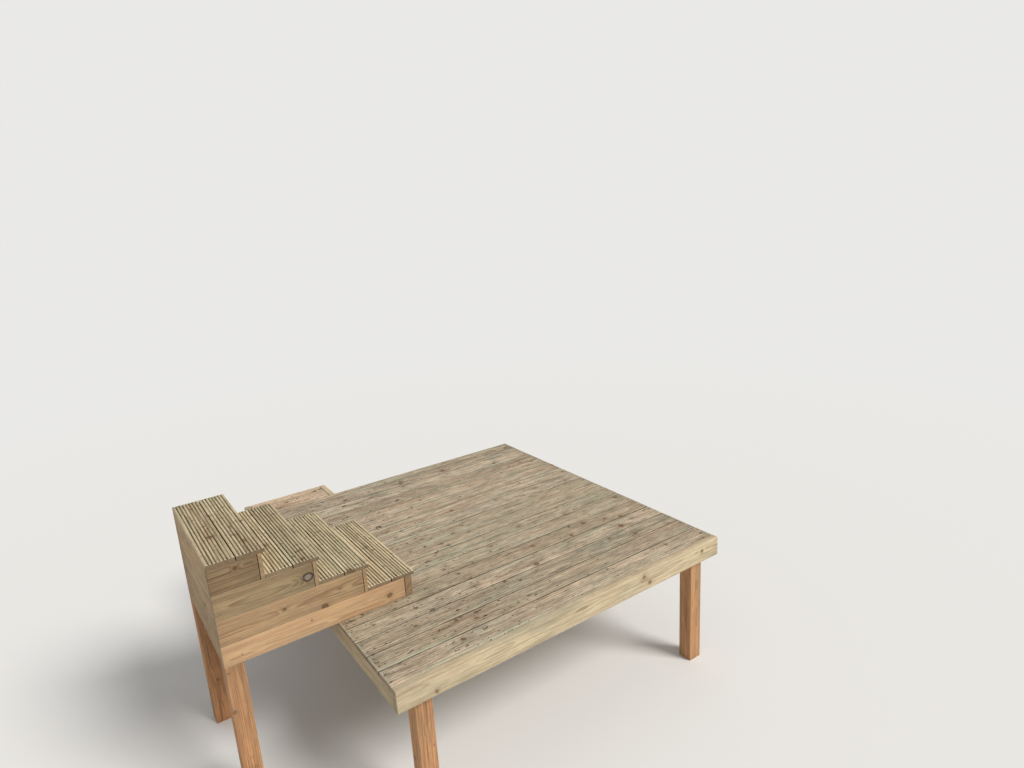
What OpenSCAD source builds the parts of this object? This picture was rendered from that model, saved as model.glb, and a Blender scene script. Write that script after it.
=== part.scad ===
// Wooden jetty: a boarded deck on posts, four stacked box steps down to it at its back
// end, and a short side ledge beside the steps.
// X runs along the deck boards to the front, Y from the near rim to the far side and
// Z up. The origin is the middle of the outline, level with the feet of the posts.

/* [Deck] */
// Length of the deck along its boards
deck_len = 2400; // [2300:10:3600]
// Height of the deck surface above the feet of the posts
deck_height = 900; // [400:10:1500]
// Number of full-width deck boards
deck_board_count = 16; // [14:1:24]
// Width of a deck board and of a tread board
board_w = 145; // [120:1:150]
// Thickness of a deck board and of a tread board
board_t = 25; // [20:1:32]
// Gap between two boards
board_gap = 5; // [3:1:8]
// Width of the last deck board, ripped down to fit
ripped_w = 89; // [60:1:145]
// Number of joists between the two end rims
joist_count = 5; // [4:1:8]

/* [Framing timber] */
// Thickness of rims and joists
rim_t = 45; // [38:1:60]
// Depth of the rims that stand level with the boards
rim_h = 130; // [100:1:175]
// Side of a square post
post_w = 100; // [75:1:125]
// Distance from a deck end to its posts
post_inset = 112; // [60:1:400]

/* [Steps] */
// Number of steps
step_count = 4; // [2:1:5]
// Rise of each step
rise = 150; // [140:1:175]
// Going of each step, nosing to nosing
going = 275; // [272:1:290]
// Length of each step across the deck
step_w = 913; // [700:1:1200]
// Distance from the near rim face to the near end of the steps
step_near = 737; // [100:1:1000]
// Distance from the front of the deck to the lowest nosing
nosing_from_front = 1905; // [1850:1:2300]
// Thickness of the boards that make the upper boxes
box_t = 22; // [20:1:32]

/* [Grooves] */
// Number of grooves in a full board, on the deck and on the treads
groove_count = 7; // [5:1:9]
// Width of a tread groove at the board's surface
groove_w = 7; // [4:0.5:9]
// Width of a tread groove at its floor
groove_floor = 5; // [2:0.5:8]
// Depth of a tread groove
groove_d = 3.5; // [2:0.5:6]
// Width of the fine grooves of the deck boards at the surface
reed_w = 3.5; // [2:0.5:6]
// Width of the fine grooves at their floor
reed_floor = 2; // [1:0.5:4]
// Depth of the fine grooves
reed_d = 1; // [0.5:0.1:3]

/* [Side ledge] */
// Distance from the front of the deck to the front of the ledge
ledge_from_front = 1730; // [1300:1:2000]
// Number of full-width boards on the ledge
ledge_board_count = 1; // [1:1:4]
// Width of the ledge's outer board, ripped down to fit
ledge_ripped_w = 92; // [60:1:145]
// Number of short joists across the ledge
ledge_joist_count = 2; // [1:1:4]

/* [Eased edges] */
// Size of the eased edge on boards
board_ease = 2.5; // [1:0.5:4]
// Size of the eased edge on framing timber and posts
timber_ease = 3; // [1:0.5:6]

/* [Hidden] */

pitch = board_w + board_gap;
rib_pitch = board_w / (groove_count + 1);
joist_h = rim_h - board_t;
tread_depth = 2 * board_w + board_gap;
overhang = tread_depth - going;
deck_w = rim_t + board_gap + deck_board_count * pitch + ripped_w;
ledge_w = board_gap + ledge_board_count * pitch + ledge_ripped_w;
total_len = nosing_from_front + (step_count - 1) * going + tread_depth;
total_w = deck_w + ledge_w;
deck_x = total_len - deck_len;
ledge_x = total_len - ledge_from_front;
frame_bottom = deck_height - rim_h;
board_bottom = deck_height - board_t;

treated = "burlywood";
fresh = "wheat";
sawn = "tan";
stained = "peru";

// Where a step's nosing stands along X; step 1 is the highest
function nosing_x(step) = tread_depth + (step - 1) * going;
// The level that a step's tread boards lie on
function tread_seat(step) = deck_height + (step_count - step + 1) * rise - board_t;
// The lowest box stands on the deck and is made of rim timber, the others of boards
function box_bottom(step) = step == step_count ? deck_height : tread_seat(step + 1);
function box_thickness(step) = step == step_count ? rim_t : box_t;
// The back face of a step's riser
function riser_back(step) = nosing_x(step) - overhang - box_thickness(step);

// Places the whole model with the origin under its middle
module placed() {
    translate([-total_len / 2, -total_w / 2, 0]) children();
}

// Section of a plain timber, w across and h high, with eased edges
module eased_section(w, h, ease) {
    polygon([
        [ease, 0], [w - ease, 0], [w, ease], [w, h - ease],
        [w - ease, h], [ease, h], [0, h - ease], [0, ease]
    ]);
}

// Section of a board with even grooves along its top: its first rib starts at the origin,
// and a board ripped narrower keeps the grooves that are left
module grooved_section(w, h, ease, top_w, floor_w, depth) {
    count = floor((w - top_w) / rib_pitch);
    grooves = [
        for (i = [count:-1:1], p = [
            [top_w / 2, 0], [floor_w / 2, -depth], [-floor_w / 2, -depth], [-top_w / 2, 0]
        ]) [i * rib_pitch + p[0], h + p[1]]
    ];
    polygon(concat(
        [[ease, 0], [w - ease, 0], [w, ease], [w, h - ease], [w - ease, h]],
        grooves,
        [[ease, h], [0, h - ease], [0, ease]]
    ));
}

// Section of a deck or ledge board, w wide, with fine grooves
module reeded_section(w) {
    grooved_section(w, board_t, board_ease, reed_w, reed_floor, reed_d);
}

// Section of a tread board, with deep grooves
module tread_section() {
    grooved_section(board_w, board_t, board_ease, groove_w, groove_floor, groove_d);
}

// Carries a section along X from the origin, its width along Y
module along_x(length) {
    rotate([90, 0, 90]) linear_extrude(length) children();
}

// Carries a section along Y from the origin, its width along X
module along_y(length) {
    translate([0, length, 0]) rotate([90, 0, 0]) linear_extrude(length) children();
}

module bar_x(length, w, h, ease = timber_ease) {
    along_x(length) eased_section(w, h, ease);
}

module bar_y(length, w, h, ease = timber_ease) {
    along_y(length) eased_section(w, h, ease);
}

module post(x, y, top) {
    color(stained) translate([x, y, 0]) linear_extrude(top) eased_section(post_w, post_w, timber_ease);
}

// A run of reeded boards along X: full ones side by side, then a ripped one
module board_run(length, count, last_w) {
    for (i = [0:count - 1])
        translate([0, i * pitch, 0]) along_x(length) reeded_section(board_w);
    translate([0, count * pitch, 0]) along_x(length) reeded_section(last_w);
}

// Full boards from the near rim on, then the ripped board over the far rim
module deck_boards() {
    color(treated) placed() translate([deck_x, rim_t + board_gap, board_bottom])
        board_run(deck_len, deck_board_count, ripped_w);
}

// The near rim stands level with the boards and closes their side
module near_rim() {
    color(fresh) placed() translate([deck_x, 0, frame_bottom]) bar_x(deck_len, rim_t, rim_h);
}

module far_rim() {
    color(sawn) placed() translate([deck_x, deck_w - rim_t, frame_bottom]) bar_x(deck_len, rim_t, joist_h);
}

// A joist or end rim across the deck, between the two long rims
module cross_timber(x) {
    color(sawn) placed() translate([x, rim_t, frame_bottom]) bar_y(deck_w - 2 * rim_t, rim_t, joist_h);
}

module front_rim() {
    cross_timber(total_len - rim_t);
}

module back_rim() {
    cross_timber(deck_x);
}

module joist(number) {
    cross_timber(deck_x + number * (deck_len - rim_t) / (joist_count + 1));
}

module near_front_post() {
    placed() post(total_len - post_inset - post_w, rim_t, board_bottom);
}

module far_front_post() {
    placed() post(total_len - post_inset - post_w, deck_w - rim_t - post_w, board_bottom);
}

module near_back_post() {
    placed() post(deck_x + post_inset, rim_t, board_bottom);
}

module far_back_post() {
    placed() post(deck_x + post_inset, deck_w - rim_t - post_w, board_bottom);
}

// Boards of the ledge, between its two end rims
module ledge_boards() {
    length = ledge_x - deck_x - 2 * (rim_t + board_gap);
    color(treated) placed() translate([deck_x + rim_t + board_gap, deck_w + board_gap, board_bottom])
        board_run(length, ledge_board_count, ledge_ripped_w);
}

// Short joists under the ledge boards, from the far rim to the side rim
module ledge_joists() {
    bay = (ledge_x - deck_x - rim_t) / (ledge_joist_count + 1);
    color(sawn) placed() for (i = [1:ledge_joist_count])
        translate([deck_x + i * bay, deck_w, frame_bottom]) bar_y(ledge_w - rim_t, rim_t, joist_h);
}

module ledge_front_rim() {
    color(fresh) placed() translate([ledge_x - rim_t, deck_w, frame_bottom]) bar_y(ledge_w, rim_t, rim_h);
}

module ledge_back_rim() {
    color(sawn) placed() translate([deck_x, deck_w, frame_bottom]) bar_y(ledge_w, rim_t, rim_h);
}

module ledge_side_rim() {
    color(sawn) placed() translate([deck_x + rim_t, deck_w + ledge_w - rim_t, frame_bottom])
        bar_x(ledge_x - deck_x - 2 * rim_t, rim_t, joist_h);
}

module ledge_front_post() {
    placed() post(ledge_x - rim_t - post_w, deck_w + ledge_w - rim_t - post_w, board_bottom);
}

module ledge_back_post() {
    placed() post(deck_x + rim_t, deck_w + ledge_w - rim_t - post_w, board_bottom);
}

// Two grooved boards, from the face of the riser above to the nosing
module step_tread(step) {
    color(fresh) placed() for (i = [0:1])
        translate([nosing_x(step) - tread_depth + i * pitch, step_near, tread_seat(step)])
            along_y(step_w) tread_section();
}

module step_riser(step) {
    bottom = box_bottom(step);
    color(sawn) placed() translate([riser_back(step), step_near, bottom])
        bar_y(step_w, box_thickness(step), tread_seat(step) - bottom, board_ease);
}

// A board along a box, from the back of the stair to the back of the box's riser
module box_board(step, offset, start) {
    bottom = box_bottom(step);
    color(sawn) placed() translate([start, step_near + offset, bottom])
        bar_x(riser_back(step) - start, box_thickness(step), tread_seat(step) - bottom, board_ease);
}

module step_near_side(step) {
    box_board(step, 0, 0);
}

module step_far_side(step) {
    box_board(step, step_w - box_thickness(step), 0);
}

// Carries the middle of the treads, from the back board to the riser
module step_centre(step) {
    box_board(step, (step_w - box_thickness(step)) / 2, box_thickness(step));
}

// Closes the back of a box, between its two side boards
module step_back(step) {
    bottom = box_bottom(step);
    thickness = box_thickness(step);
    color(sawn) placed() translate([0, step_near + thickness, bottom])
        bar_y(step_w - 2 * thickness, thickness, tread_seat(step) - bottom, board_ease);
}

module step_near_post() {
    placed() post(0, step_near, deck_height);
}

module step_far_post() {
    placed() post(0, step_near + step_w - post_w, deck_height);
}

deck_boards();
near_rim();
far_rim();
front_rim();
back_rim();
joist(1);  // joist_1
joist(2);  // joist_2
joist(3);  // joist_3
joist(4);  // joist_4
joist(5);  // joist_5
near_front_post();
far_front_post();
near_back_post();
far_back_post();
ledge_boards();
ledge_front_rim();
ledge_back_rim();
ledge_side_rim();
ledge_joists();
ledge_front_post();
ledge_back_post();
step_tread(1);  // step_1_tread
step_riser(1);  // step_1_riser
step_near_side(1);  // step_1_near_side
step_far_side(1);  // step_1_far_side
step_centre(1);  // step_1_centre
step_back(1);  // step_1_back
step_tread(2);  // step_2_tread
step_riser(2);  // step_2_riser
step_near_side(2);  // step_2_near_side
step_far_side(2);  // step_2_far_side
step_centre(2);  // step_2_centre
step_back(2);  // step_2_back
step_tread(3);  // step_3_tread
step_riser(3);  // step_3_riser
step_near_side(3);  // step_3_near_side
step_far_side(3);  // step_3_far_side
step_centre(3);  // step_3_centre
step_back(3);  // step_3_back
step_tread(4);  // step_4_tread
step_riser(4);  // step_4_riser
step_near_side(4);  // step_4_near_side
step_far_side(4);  // step_4_far_side
step_centre(4);  // step_4_centre
step_back(4);  // step_4_back
step_near_post();
step_far_post();
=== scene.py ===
"""Looks of a wooden jetty: reeded deck boards, grooved treads on stacked box steps, rims and posts.

Every timber is a section of many points carried along its length, worked out as whole arrays,
with worn arrises, drying splits and sunk screws, and a wood finish that is cut from a log.
"""
import math
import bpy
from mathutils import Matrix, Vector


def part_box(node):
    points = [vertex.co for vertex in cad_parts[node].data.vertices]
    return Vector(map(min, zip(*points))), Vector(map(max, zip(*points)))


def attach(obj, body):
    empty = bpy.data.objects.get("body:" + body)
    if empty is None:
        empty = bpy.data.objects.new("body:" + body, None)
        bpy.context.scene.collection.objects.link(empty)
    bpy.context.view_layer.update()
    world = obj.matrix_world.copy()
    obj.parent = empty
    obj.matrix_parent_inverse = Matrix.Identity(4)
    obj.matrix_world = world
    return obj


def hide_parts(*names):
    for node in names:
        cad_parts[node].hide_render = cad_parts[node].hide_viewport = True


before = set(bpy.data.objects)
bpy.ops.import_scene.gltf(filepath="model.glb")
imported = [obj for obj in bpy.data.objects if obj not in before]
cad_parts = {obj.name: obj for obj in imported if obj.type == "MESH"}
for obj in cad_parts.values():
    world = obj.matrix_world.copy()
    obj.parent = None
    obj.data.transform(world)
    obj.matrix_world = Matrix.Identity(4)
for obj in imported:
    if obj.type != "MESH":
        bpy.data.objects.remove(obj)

import zlib

import bpy
import numpy as np
from bpy.props import FloatProperty, FloatVectorProperty, PointerProperty
from mathutils import Euler, Matrix, Vector

bl_info = {
    "name": "Wooden jetty",
    "version": (1, 0, 0),
    "blender": (4, 5, 0),
    "location": "3D View > Sidebar > Jetty",
    "description": "Dresses the frame of a wooden jetty with worn boards, rims, posts and screws",
    "category": "Object",
}

BODY = "root"
MM = 0.001
ALONG_X, ALONG_Y, ALONG_Z = 0, 1, 2
STEPS = (1, 2, 3, 4)
JOISTS = ("back_rim", "joist_1", "joist_2", "joist_3", "joist_4", "joist_5", "front_rim")
FAR_AWAY = 9.0
SMALLEST = 1e-4
WHITE = (1.0, 1.0, 1.0, 1.0)
FILM_WIDTH = 36
FLOOR_RADIUS = 300.0
FLOOR_SIDES = 64

# How boards are laid: the most that an end is trimmed, how far from the ledge's ends its screws
# stand, how far a screw strays from its line, and how deep screws go with the waves of a face
TRIMMED = 1.5 * MM
SCREWS_IN = 22 * MM
STRAY = 4 * MM
SETTLED = 0.2 * MM
# No board is ripped narrower than this
SLIVER = 1 * MM

# A screw head from its rim over its flat face into the drive: share of its radius, and rise
SCREW_HEAD = ((1.0, -1.2 * MM), (0.93, 0.0), (0.42, -0.05 * MM), (0.36, -1.3 * MM))
DRIVE_RINGS = (False, False, True, True)
SCREW_SIDES = 24
# Stations on both sides of a screw, close enough for its hollow
BESIDE_SCREW = np.array([-6.5, -4.5, -2.2, 0, 2.2, 4.5, 6.5]) * MM

# Large knots: how far along a timber and up its wide face from the low corner, and their radius
KNOTS = {
    "step_1_near_side": ((0.137, 0.114, 8 * MM),),
    "step_2_near_side": ((0.493, 0.073, 24 * MM),),
    "step_4_near_side": ((0.952, 0.049, 13 * MM),),
    "near_rim": ((1.750, 0.043, 8 * MM), (2.240, 0.081, 7 * MM)),
    "deck_board_01": ((2.322, 0.009, 6 * MM),),
    "deck_board_03": ((1.840, 0.115, 9 * MM),),
    "deck_board_04": ((1.255, 0.022, 14 * MM), (2.030, 0.052, 15 * MM)),
    "deck_board_05": ((1.380, 0.078, 11 * MM), (2.020, 0.058, 10 * MM)),
    "deck_board_06": ((2.335, 0.120, 11 * MM),),
    "deck_board_07": ((0.827, 0.133, 9 * MM),),
    "deck_board_11": ((0.704, 0.045, 9 * MM),),
}

# Lightness, warmth and green of boards that stand out, at their start and at their finish. Some carry painted
# sunlight and painted shade, as marked
TONES = {
    # Painted shade: this side board is made darker
    "step_1_near_side": ((-0.44, 0.30, 0.0), (-0.48, 0.25, 0.10)),
    "step_2_near_side": ((-0.16, 0.26, 0.10), (-0.32, 0.0, 0.70)),
    "step_3_near_side": ((-0.10, 0.60, 0.0), (-0.08, 0.35, 0.0)),
    # Painted sunlight: this side board is made lighter and warmer
    "step_4_near_side": ((0.22, 0.75, 0.0), (0.30, 0.90, 0.0)),
    "step_1_riser": ((-0.06, 0.05, 0.0), (0.0, 0.0, 0.0)),
    "step_2_riser": ((0.0, 0.10, 0.0), (0.0, 0.0, 0.0)),
    "step_3_riser": ((0.04, 0.30, 0.0), (0.0, 0.0, 0.0)),
    "step_4_riser": ((-0.16, 0.25, 0.0), (-0.10, 0.0, 0.0)),
    "step_1_back_tread_board": ((0.02, 0.45, 0.0), (-0.08, 0.10, 0.10)),
    "step_1_front_tread_board": ((-0.06, 0.20, 0.0), (0.04, 0.0, 0.10)),
    "step_2_back_tread_board": ((0.22, 0.10, 0.0), (0.17, 0.0, 0.10)),
    "step_3_back_tread_board": ((0.16, 0.0, 0.15), (0.10, 0.0, 0.30)),
    "step_3_front_tread_board": ((0.08, 0.0, 0.18), (0.08, 0.0, 0.22)),
    "step_4_back_tread_board": ((0.28, 0.30, 0.0), (0.10, 0.0, 0.15)),
    "step_4_front_tread_board": ((0.08, 0.06, 0.05), (0.06, 0.0, 0.15)),
    # Painted sunlight: the two ledge boards are made lighter and warmer
    "ledge_board_1": ((0.30, 0.50, 0.0), (0.36, 0.55, 0.0)),
    "ledge_board_2": ((0.30, 0.60, 0.0), (0.34, 0.65, 0.0)),
    "ledge_front_rim": ((0.10, 0.45, 0.0), (0.20, 0.45, 0.0)),
    "near_rim": ((-0.04, 0.0, 0.10), (0.06, 0.0, 0.0)),
}


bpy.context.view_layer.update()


def draw(name):
    """Random numbers that are the same each run, for one named piece."""
    return np.random.default_rng(zlib.crc32(name.encode()))


def colour(name, description, default):
    return FloatVectorProperty(
        name=name, description=description, default=default, size=3, subtype="COLOR", min=0, max=1
    )


def length(name, description, default):
    return FloatProperty(
        name=name, description=description, default=default, min=0, max=10,
        unit="LENGTH", subtype="DISTANCE", precision=4,
    )


def share(name, description, default):
    return FloatProperty(name=name, description=description, default=default, min=0, max=1, subtype="FACTOR")


def degrees(name, description, default):
    return FloatProperty(name=name, description=description, default=math.radians(default), subtype="ANGLE")


# Settings that several groups share: key, kind, name and description
GROOVES = (
    ("groove_width", length, "Groove width", "Width of a groove at the surface"),
    ("groove_floor", length, "Groove floor", "Width of a groove at its floor"),
    ("groove_depth", length, "Groove depth", "Depth of a groove"),
    # The grooves' colour: soil in them, and painted shade in them as well
    ("dirt", colour, "Dirt", "Dirt and damp lying in the grooves"),
)
GRAIN = (
    ("pale", colour, "Pale wood", "Soft early wood"),
    ("dark", colour, "Dark wood", "Hard late wood"),
    ("stain", colour, "Stain", "Weathered or treated patches"),
    # Also the colour of the painted highlight on arrises and board ends
    ("rubbed", colour, "Rubbed wood", "Rubbed arrises and the pale strips along a board's edges"),
    ("ring_gap", length, "Ring gap", "Distance between two growth rings"),
    ("contrast", share, "Contrast", "Strength of the growth rings"),
    ("streaks", share, "Streaks", "Strength of the streaks along the grain"),
    ("knots", share, "Knots", "Share of the places for a knot that hold one"),
    ("stained", share, "Stained", "Strength of the stained patches"),
    ("cloudy", share, "Cloudy", "Strength of the brown clouds"),
    ("mottled", share, "Mottled", "Strength of the small light and dark patches"),
    # Also sets the strength of the painted highlight at the ends of a board
    ("edges", share, "Pale edges", "Strength of the pale strips along a board's edges"),
    ("end_shade", share, "End shade", "How much darker the end grain is"),
)


def settings(table, **defaults):
    """The settings of a table, with the defaults of one kind of timber."""
    return {key: kind(name, description, defaults[key]) for key, kind, name, description in table}


class DeckSettings(bpy.types.PropertyGroup):
    """Boards of the deck and of the ledge"""

    board_width: length("Board width", "Width of a full deck board", 145 * MM)
    board_gap: length("Gap", "Gap between two deck boards", 5 * MM)
    groove_pitch: length("Groove pitch", "Distance between two grooves", 145 * MM / 8)
    arris: length("Arris", "Radius of the worn edges of a board", 2.5 * MM)
    __annotations__.update(settings(
        GROOVES, groove_width=3.5 * MM, groove_floor=2 * MM, groove_depth=1 * MM, dirt=(0.16, 0.125, 0.085),
    ))
    __annotations__.update(settings(
        GRAIN, pale=(0.54, 0.44, 0.32), dark=(0.21, 0.155, 0.105), stain=(0.37, 0.35, 0.27),
        rubbed=(0.58, 0.58, 0.44), ring_gap=4.2 * MM, contrast=0.38, streaks=0.56, knots=0.18,
        stained=0.50, cloudy=0.50, mottled=1.0, edges=0.75, end_shade=0.20,
    ))


class TreadSettings(bpy.types.PropertyGroup):
    """Grooved boards of the steps"""

    __annotations__ = settings(
        GROOVES, groove_width=7 * MM, groove_floor=5 * MM, groove_depth=3.5 * MM, dirt=(0.086, 0.060, 0.022),
    )
    __annotations__.update(settings(
        GRAIN, pale=(0.665, 0.56, 0.365), dark=(0.28, 0.20, 0.105), stain=(0.49, 0.455, 0.29),
        rubbed=(0.75, 0.66, 0.46), ring_gap=4.0 * MM, contrast=0.38, streaks=0.66, knots=0.20,
        stained=0.35, cloudy=0.30, mottled=0.34, edges=0.75, end_shade=0.46,
    ))


class BoxSettings(bpy.types.PropertyGroup):
    """Boards of the boxes under the treads"""

    arris: length("Arris", "Radius of the worn edges of a box board", 2 * MM)
    joint: length("Joint", "Open joint between a riser and the boards behind it", 3.5 * MM)
    __annotations__.update(settings(
        GRAIN, pale=(0.50, 0.35, 0.190), dark=(0.215, 0.125, 0.062), stain=(0.27, 0.205, 0.13),
        rubbed=(0.60, 0.46, 0.30), ring_gap=4.6 * MM, contrast=0.68, streaks=0.55, knots=0.20,
        stained=0.40, cloudy=0.32, mottled=0.34, edges=0.10, end_shade=0.0,
    ))


class FramingSettings(bpy.types.PropertyGroup):
    """Rims and joists"""

    arris: length("Arris", "Radius of the worn edges of a rim or joist", 3 * MM)
    __annotations__.update(settings(
        GRAIN, pale=(0.63, 0.52, 0.345), dark=(0.33, 0.235, 0.135), stain=(0.42, 0.365, 0.255),
        rubbed=(0.70, 0.62, 0.45), ring_gap=5.2 * MM, contrast=0.50, streaks=0.50, knots=0.14,
        stained=0.48, cloudy=0.32, mottled=0.34, edges=0.20, end_shade=0.12,
    ))


class PostSettings(bpy.types.PropertyGroup):
    """Square posts"""

    arris: length("Arris", "Radius of the worn edges of a post", 3 * MM)
    __annotations__.update(settings(
        GRAIN, pale=(0.57, 0.28, 0.127), dark=(0.27, 0.115, 0.048), stain=(0.23, 0.125, 0.070),
        rubbed=(0.62, 0.40, 0.24), ring_gap=5.0 * MM, contrast=0.58, streaks=0.60, knots=0.24,
        stained=0.38, cloudy=0.38, mottled=0.30, edges=0.06, end_shade=0.20,
    ))


class ScrewSettings(bpy.types.PropertyGroup):
    """Countersunk screws that hold the boards down"""

    head: length("Head", "Radius of a screw head", 4.2 * MM)
    sunk: length("Sunk", "Depth of a screw head under the surface", 0.8 * MM)
    hollow: length("Hollow", "Radius of the hollow that a screw pulls into the wood", 6.5 * MM)
    metal: colour("Metal", "Dark coating of the screws", (0.07, 0.055, 0.035))
    worn: colour("Worn metal", "Specks where the coating is thin", (0.14, 0.09, 0.05))


class StageSettings(bpy.types.PropertyGroup):
    """Floor, light and camera"""

    floor: colour("Floor", "Colour of the plain floor", (0.82, 0.815, 0.80))
    backdrop: colour("Backdrop", "Colour of everything behind the floor", (0.82, 0.815, 0.80))
    shaded: length("Shaded floor", "Distance from the middle up to which the floor takes full shadows", 4.0)
    faded: length("Faded floor", "Distance from the middle where the floor has the backdrop's colour", 10.0)
    fill: FloatProperty(
        name="Fill", description="Brightness of the soft light from all sides", default=0.43, min=0
    )
    key: FloatProperty(
        name="Key", description="Strength of the large soft lamp", default=2.6, min=0, subtype="POWER"
    )
    key_colour: colour("Key colour", "Colour of the large soft lamp", (1.0, 0.975, 0.94))
    softness: degrees("Softness", "Angle under which the lamp is seen", 24)
    towards_key: FloatVectorProperty(
        name="Towards the key", description="Direction from the jetty to the lamp",
        default=(0.34, -0.64, 0.69), size=3, subtype="DIRECTION",
    )
    yaw: degrees("Yaw", "Turn of the view from +Y towards +X", 34.301)
    pitch: degrees("Pitch", "Tilt of the view below level", 14.984)
    roll: degrees("Roll", "Turn of the camera about its own line of sight", -3.409)
    focal: FloatProperty(
        name="Focal length", description="Focal length of the camera in millimetres",
        default=24.108, unit="CAMERA",
    )
    eye: FloatVectorProperty(
        name="Eye", description="Place of the camera from the near front corner of the deck's surface",
        default=(-3.4597, -2.7153, 2.2758), size=3, subtype="TRANSLATION", unit="LENGTH",
    )


def rgba(values):
    return (*values, 1.0)


def arithmetic(operation, turned=False):
    """A Math node in place of Python's own sum, product or comparison."""
    def apply(value, other):
        pair = (other, value) if turned else (value, other)
        return value.finish.math(operation, *pair)
    return apply


class Value:
    """A value on its way through a node tree."""

    def __init__(self, finish, socket):
        self.finish = finish
        self.socket = socket

    __add__ = arithmetic("ADD")
    __sub__ = arithmetic("SUBTRACT")
    __rsub__ = arithmetic("SUBTRACT", turned=True)
    __mul__ = arithmetic("MULTIPLY")
    __truediv__ = arithmetic("DIVIDE")
    __lt__ = arithmetic("LESS_THAN")
    __gt__ = arithmetic("GREATER_THAN")


class Finish:
    """Adds nodes to a material or to the world. An input takes a Value, a number or a colour."""

    def __init__(self, owner):
        owner.use_nodes = True
        self.owner = owner
        self.tree = owner.node_tree
        self.tree.nodes.clear()

    def node(self, kind, inputs=(), **settings):
        """A new node, with its settings by name and its inputs by name or by number."""
        made = self.tree.nodes.new(kind)
        for name, value in settings.items():
            setattr(made, name, value)
        for name, value in dict(inputs).items():
            if isinstance(value, Value):
                self.tree.links.new(value.socket, made.inputs[name])
            else:
                made.inputs[name].default_value = value
        return made

    def take(self, output, kind, inputs=(), **settings):
        """One output of a new node."""
        return Value(self, self.node(kind, inputs, **settings).outputs[output])

    def math(self, operation, *values):
        return self.take(0, "ShaderNodeMath", enumerate(values), operation=operation)

    def over(self, a, b):
        """One value over another one that is kept above zero."""
        return a / self.math("MAXIMUM", b, SMALLEST)

    def distance(self, a, b, weight_of_a=1.0):
        """Square root of a squared times its weight, plus b squared."""
        return self.math("SQRT", a * a * weight_of_a + b * b)

    def limit(self, value, low=0.0, high=1.0):
        return self.math("MINIMUM", self.math("MAXIMUM", value, low), high)

    def vector(self, x, y, z):
        return self.take(0, "ShaderNodeCombineXYZ", {"X": x, "Y": y, "Z": z})

    def parts(self, vector):
        split = self.node("ShaderNodeSeparateXYZ", {"Vector": vector})
        return [Value(self, output) for output in split.outputs]

    def place(self):
        """Where a point lies along X, Y and Z."""
        return self.parts(self.take("Object", "ShaderNodeTexCoord"))

    def attribute(self, name):
        """The three parts of a vector that a mesh carries."""
        return self.parts(self.take("Vector", "ShaderNodeAttribute", attribute_name=name))

    def number(self, name):
        """A number that a mesh carries."""
        return self.take("Fac", "ShaderNodeAttribute", attribute_name=name)

    def noise(self, vector, detail=2.0, roughness=0.5, output="Fac"):
        inputs = {"Vector": vector, "Scale": 1.0, "Detail": detail, "Roughness": roughness}
        return self.take(output, "ShaderNodeTexNoise", inputs)

    def cells(self, vector, randomness=1.0):
        """Random points on a flat grid: distance to the nearest, its three chances and its place."""
        inputs = {"Vector": vector, "Scale": 1.0, "Randomness": randomness}
        made = self.node("ShaderNodeTexVoronoi", inputs, voronoi_dimensions="2D")
        away, chances, place = [Value(self, made.outputs[name]) for name in ("Distance", "Color", "Position")]
        return away, self.parts(chances), self.parts(place)

    def ramp(self, value, low, high, to_low=0.0, to_high=1.0):
        """Goes smoothly from to_low at low to to_high at high."""
        inputs = {"Value": value, "From Min": low, "From Max": high, "To Min": to_low, "To Max": to_high}
        return self.take("Result", "ShaderNodeMapRange", inputs, interpolation_type="SMOOTHSTEP")

    def mix(self, share_of_b, a, b):
        """A colour between two others, whose sockets on the node are numbers 6 and 7."""
        a, b = [each if isinstance(each, Value) else rgba(each) for each in (a, b)]
        return self.take(2, "ShaderNodeMix", {0: share_of_b, 6: a, 7: b}, data_type="RGBA")

    def scale(self, colour_in, factor):
        """A colour made lighter or darker by a factor."""
        return self.take(0, "ShaderNodeVectorMath", {0: colour_in, "Scale": factor}, operation="SCALE")

    def blend(self, share_of_b, a, b):
        """A shader between two others."""
        return self.take(0, "ShaderNodeMixShader", {0: share_of_b, 1: a, 2: b})

    def end(self, surface, kind="ShaderNodeOutputMaterial"):
        self.node(kind, {"Surface": surface})
        return self.owner


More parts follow.
